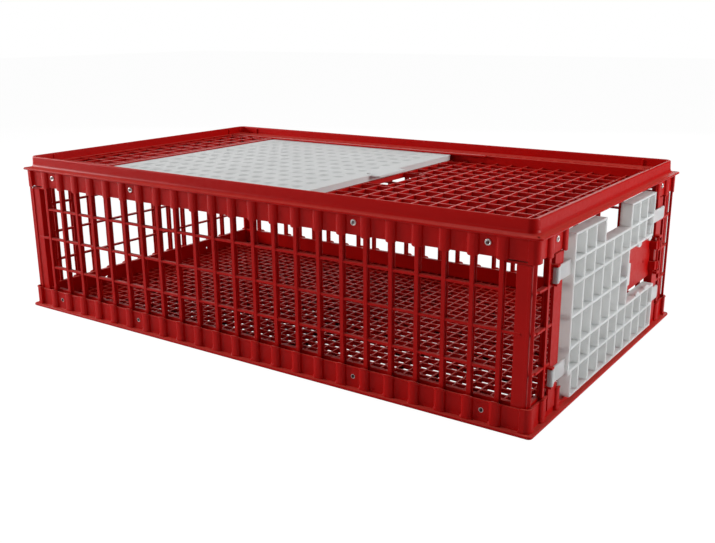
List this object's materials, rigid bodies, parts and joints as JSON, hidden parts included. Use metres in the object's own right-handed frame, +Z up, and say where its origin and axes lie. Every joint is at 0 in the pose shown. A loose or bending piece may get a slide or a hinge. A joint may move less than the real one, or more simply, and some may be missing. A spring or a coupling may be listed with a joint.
{
  "type": "poultry transport crate",
  "caption": "Low rectangular plastic crate for live birds with grid floor, barred walls, a lid with a sliding top hatch and a hinged end door with a latch flap.",
  "frame": {"origin": "centre of the underside, on the surface that the crate stands on", "axes": "+X along the crate towards the end door, +Y across it, +Z up"},
  "size_m": [0.97, 0.58, 0.27],
  "materials": {
    "red_plastic": "satin moulded red polyethylene",
    "white_plastic": "satin moulded milky white polyethylene",
    "rivet_metal": "plain aluminium, slightly dulled"
  },
  "bodies": {
    "crate": {"base_tray": "red_plastic", "lid": "red_plastic", "front_wall": "red_plastic", "back_wall": "red_plastic", "closed_end_wall": "red_plastic", "door_end_panel_front": "red_plastic", "door_end_panel_back": "red_plastic", "rivet_base_front_1": "rivet_metal", "rivet_base_front_2": "rivet_metal", "rivet_base_front_3": "rivet_metal", "rivet_base_front_4": "rivet_metal", "rivet_base_back_1": "rivet_metal", "rivet_base_back_2": "rivet_metal", "rivet_base_back_3": "rivet_metal", "rivet_base_back_4": "rivet_metal", "rivet_base_left_1": "rivet_metal", "rivet_base_left_2": "rivet_metal", "rivet_base_right_1": "rivet_metal", "rivet_base_right_2": "rivet_metal", "rivet_lid_front_1": "rivet_metal", "rivet_lid_front_2": "rivet_metal", "rivet_lid_front_3": "rivet_metal", "rivet_lid_front_4": "rivet_metal", "rivet_lid_back_1": "rivet_metal", "rivet_lid_back_2": "rivet_metal", "rivet_lid_back_3": "rivet_metal", "rivet_lid_back_4": "rivet_metal", "rivet_lid_left_1": "rivet_metal", "rivet_lid_left_2": "rivet_metal", "rivet_lid_right_1": "rivet_metal", "rivet_lid_right_2": "rivet_metal"},
    "top_door": {"top_sliding_door": "white_plastic"},
    "end_door": {"end_door": "white_plastic"},
    "latch": {"latch_flap": "red_plastic"}
  },
  "joints": [
    {"name": "top_door_slide", "type": "slide", "parent": "crate", "child": "top_door", "axis": [1, 0, 0], "range_m": [0, 0.33]},
    {"name": "end_door_hinge", "type": "hinge", "parent": "crate", "child": "end_door", "pos_m": [0.4802, -0.2255, 0.124], "axis": [0, 0, -1], "range_deg": [0, 110]},
    {"name": "latch_flap_hinge", "type": "hinge", "parent": "crate", "child": "latch", "pos_m": [0.481, 0.201, 0.126], "axis": [0, 0, 1], "range_deg": [0, 100]}
  ]
}
